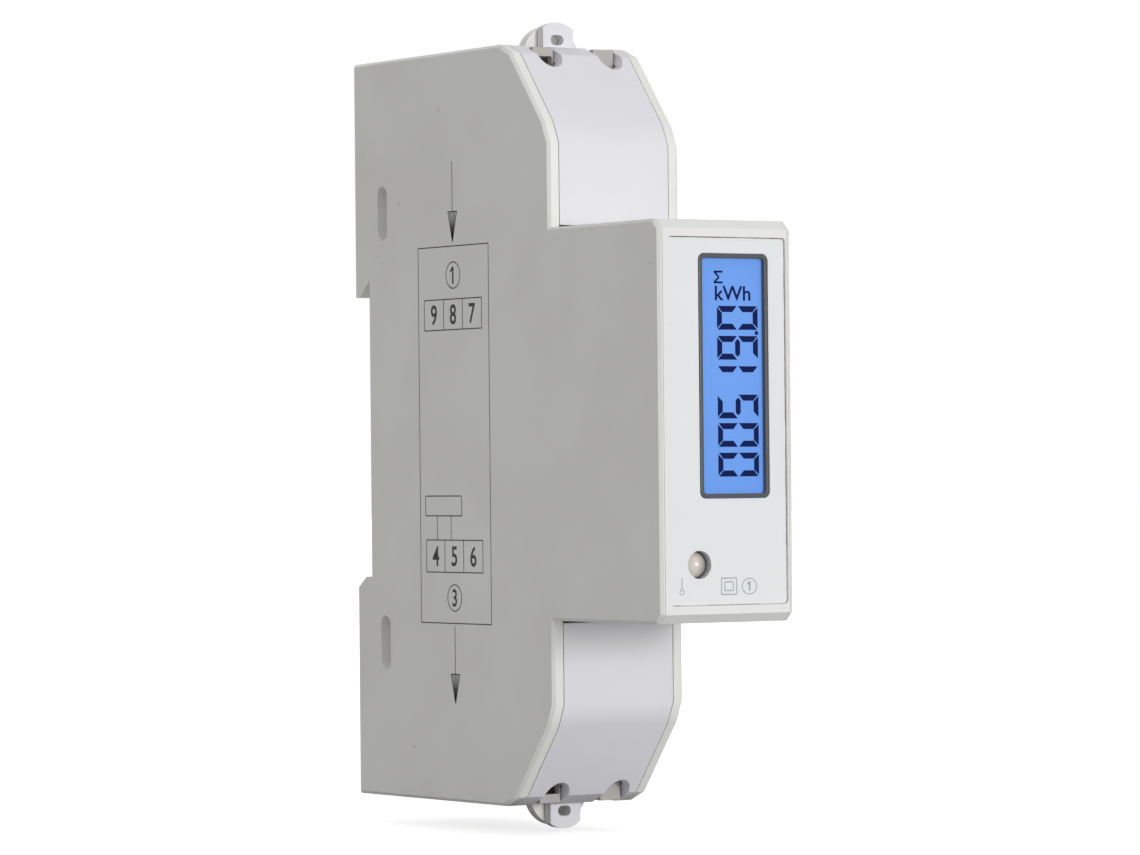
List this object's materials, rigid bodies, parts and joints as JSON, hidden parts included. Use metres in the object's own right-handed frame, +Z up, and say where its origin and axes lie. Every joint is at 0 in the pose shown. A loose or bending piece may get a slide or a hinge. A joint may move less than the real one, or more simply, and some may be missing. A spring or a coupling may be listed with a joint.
{
  "type": "single-phase energy meter",
  "caption": "Slim energy meter for a mounting rail, with a display on its nose, sloping covers over screw terminals at both ends and a sprung rail clip.",
  "frame": {"origin": "middle of the rail seat: on the seat's floor, halfway up the nose and halfway across the width", "axes": "+X to the right across the width and along the rail, +Y back towards the rail and its wall, +Z up; the display faces -Y"},
  "size_m": [0.018, 0.066, 0.0944],
  "materials": {
    "case_plastic": "smooth moulded",
    "bezel_plastic": "smooth moulded",
    "cover_plastic": "smooth moulded",
    "panel_film": "satin film",
    "display_frame": "satin",
    "lcd_glass": "polished",
    "light_guide": "frosted",
    "tinned_metal": "tinned",
    "lamp_epoxy": "clear epoxy",
    "circuit_board": "solder mask",
    "chip_plastic": "moulded",
    "crystal_can": "drawn can",
    "coupler_plastic": "moulded",
    "dropper_capacitor": "moulded box",
    "filter_capacitor": "sleeved",
    "surge_varistor": "dipped",
    "shunt_alloy": "rolled",
    "lead_insulation": "extruded",
    "clip_plastic": "moulded",
    "spring_steel": "drawn wire",
    "plated_steel": "zinc plated",
    "screw_steel": "zinc plated",
    "bar_metal": "stamped",
    "strip_metal": "stamped",
    "block_plastic": "moulded"
  },
  "bodies": {
    "case": {"case_tub": "case_plastic", "case_lid": "case_plastic", "front_bezel": "bezel_plastic", "front_panel": "panel_film", "display_frame": "display_frame", "lcd_glass": "lcd_glass", "lcd_backlight": "light_guide", "lcd_pins": "tinned_metal", "pulse_lamp": "lamp_epoxy", "display_board": "circuit_board", "main_board": "circuit_board", "board_header": "chip_plastic", "metering_chip": "chip_plastic", "controller_chip": "chip_plastic", "quartz_crystal": "crystal_can", "optocouplers": "coupler_plastic", "dropper_capacitor": "dropper_capacitor", "filter_capacitor": "filter_capacitor", "surge_varistor": "surge_varistor", "current_shunt": "shunt_alloy", "sense_leads": "lead_insulation", "clip_spring": "spring_steel", "upper_current_bar": "bar_metal", "upper_terminal_block": "block_plastic", "upper_contact_strips": "strip_metal", "upper_link_board": "circuit_board", "lower_current_bar": "bar_metal", "lower_terminal_block": "block_plastic", "lower_contact_strips": "strip_metal", "lower_link_board": "circuit_board"},
    "rail_clip": {"rail_clip": "clip_plastic"},
    "upper_cover": {"upper_cover": "cover_plastic"},
    "upper_main_screw": {"upper_main_screw": "screw_steel"},
    "upper_main_cage": {"upper_main_cage": "plated_steel"},
    "upper_small_screw_left": {"upper_small_screw_left": "screw_steel"},
    "upper_small_cage_left": {"upper_small_cage_left": "plated_steel"},
    "upper_small_screw_middle": {"upper_small_screw_middle": "screw_steel"},
    "upper_small_cage_middle": {"upper_small_cage_middle": "plated_steel"},
    "upper_small_screw_right": {"upper_small_screw_right": "screw_steel"},
    "upper_small_cage_right": {"upper_small_cage_right": "plated_steel"},
    "lower_cover": {"lower_cover": "cover_plastic"},
    "lower_main_screw": {"lower_main_screw": "screw_steel"},
    "lower_main_cage": {"lower_main_cage": "plated_steel"},
    "lower_small_screw_left": {"lower_small_screw_left": "screw_steel"},
    "lower_small_cage_left": {"lower_small_cage_left": "plated_steel"},
    "lower_small_screw_middle": {"lower_small_screw_middle": "screw_steel"},
    "lower_small_cage_middle": {"lower_small_cage_middle": "plated_steel"},
    "lower_small_screw_right": {"lower_small_screw_right": "screw_steel"},
    "lower_small_cage_right": {"lower_small_cage_right": "plated_steel"}
  },
  "joints": [
    {"name": "rail_clip_slide", "type": "slide", "parent": "case", "child": "rail_clip", "axis": [0, 0, -1], "range_m": [0, 0.004], "stiffness_N_per_m": 500, "springref_m": -0.003, "deforming": ["clip_spring"]},
    {"name": "upper_cover_pull", "type": "slide", "parent": "case", "child": "upper_cover", "axis": [0, -1, 0], "range_m": [0, 0.04]},
    {"name": "upper_main_screw_turn", "type": "hinge", "parent": "case", "child": "upper_main_screw", "pos_m": [0, -0.025, 0.0283], "axis": [0, 1, 0], "range_deg": [0, 2251]},
    {"name": "upper_main_cage_slide", "type": "slide", "parent": "case", "child": "upper_main_cage", "axis": [0, -1, 0], "range_m": [0, 0.005]},
    {"name": "upper_small_screw_left_turn", "type": "hinge", "parent": "case", "child": "upper_small_screw_left", "pos_m": [-0.00415, -0.033, 0.0356], "axis": [0, 1, 0], "range_deg": [0, 1621]},
    {"name": "upper_small_cage_left_slide", "type": "slide", "parent": "case", "child": "upper_small_cage_left", "axis": [0, -1, 0], "range_m": [0, 0.0018]},
    {"name": "upper_small_screw_middle_turn", "type": "hinge", "parent": "case", "child": "upper_small_screw_middle", "pos_m": [0, -0.033, 0.0356], "axis": [0, 1, 0], "range_deg": [0, 1621]},
    {"name": "upper_small_cage_middle_slide", "type": "slide", "parent": "case", "child": "upper_small_cage_middle", "axis": [0, -1, 0], "range_m": [0, 0.0018]},
    {"name": "upper_small_screw_right_turn", "type": "hinge", "parent": "case", "child": "upper_small_screw_right", "pos_m": [0.00415, -0.033, 0.0356], "axis": [0, 1, 0], "range_deg": [0, 1621]},
    {"name": "upper_small_cage_right_slide", "type": "slide", "parent": "case", "child": "upper_small_cage_right", "axis": [0, -1, 0], "range_m": [0, 0.0018]},
    {"name": "lower_cover_pull", "type": "slide", "parent": "case", "child": "lower_cover", "axis": [0, -1, 0], "range_m": [0, 0.04]},
    {"name": "lower_main_screw_turn", "type": "hinge", "parent": "case", "child": "lower_main_screw", "pos_m": [0, -0.025, -0.0283], "axis": [0, 1, 0], "range_deg": [0, 2251]},
    {"name": "lower_main_cage_slide", "type": "slide", "parent": "case", "child": "lower_main_cage", "axis": [0, -1, 0], "range_m": [0, 0.005]},
    {"name": "lower_small_screw_left_turn", "type": "hinge", "parent": "case", "child": "lower_small_screw_left", "pos_m": [-0.00415, -0.033, -0.0356], "axis": [0, 1, 0], "range_deg": [0, 1621]},
    {"name": "lower_small_cage_left_slide", "type": "slide", "parent": "case", "child": "lower_small_cage_left", "axis": [0, -1, 0], "range_m": [0, 0.0018]},
    {"name": "lower_small_screw_middle_turn", "type": "hinge", "parent": "case", "child": "lower_small_screw_middle", "pos_m": [0, -0.033, -0.0356], "axis": [0, 1, 0], "range_deg": [0, 1621]},
    {"name": "lower_small_cage_middle_slide", "type": "slide", "parent": "case", "child": "lower_small_cage_middle", "axis": [0, -1, 0], "range_m": [0, 0.0018]},
    {"name": "lower_small_screw_right_turn", "type": "hinge", "parent": "case", "child": "lower_small_screw_right", "pos_m": [0.00415, -0.033, -0.0356], "axis": [0, 1, 0], "range_deg": [0, 1621]},
    {"name": "lower_small_cage_right_slide", "type": "slide", "parent": "case", "child": "lower_small_cage_right", "axis": [0, -1, 0], "range_m": [0, 0.0018]}
  ],
  "couplings": [
    {"joint": "upper_main_screw_turn", "follows": "upper_main_cage_slide", "rad_per_m": 7854},
    {"joint": "upper_small_screw_left_turn", "follows": "upper_small_cage_left_slide", "rad_per_m": 15708},
    {"joint": "upper_small_screw_middle_turn", "follows": "upper_small_cage_middle_slide", "rad_per_m": 15708},
    {"joint": "upper_small_screw_right_turn", "follows": "upper_small_cage_right_slide", "rad_per_m": 15708},
    {"joint": "lower_main_screw_turn", "follows": "lower_main_cage_slide", "rad_per_m": 7854},
    {"joint": "lower_small_screw_left_turn", "follows": "lower_small_cage_left_slide", "rad_per_m": 15708},
    {"joint": "lower_small_screw_middle_turn", "follows": "lower_small_cage_middle_slide", "rad_per_m": 15708},
    {"joint": "lower_small_screw_right_turn", "follows": "lower_small_cage_right_slide", "rad_per_m": 15708}
  ]
}
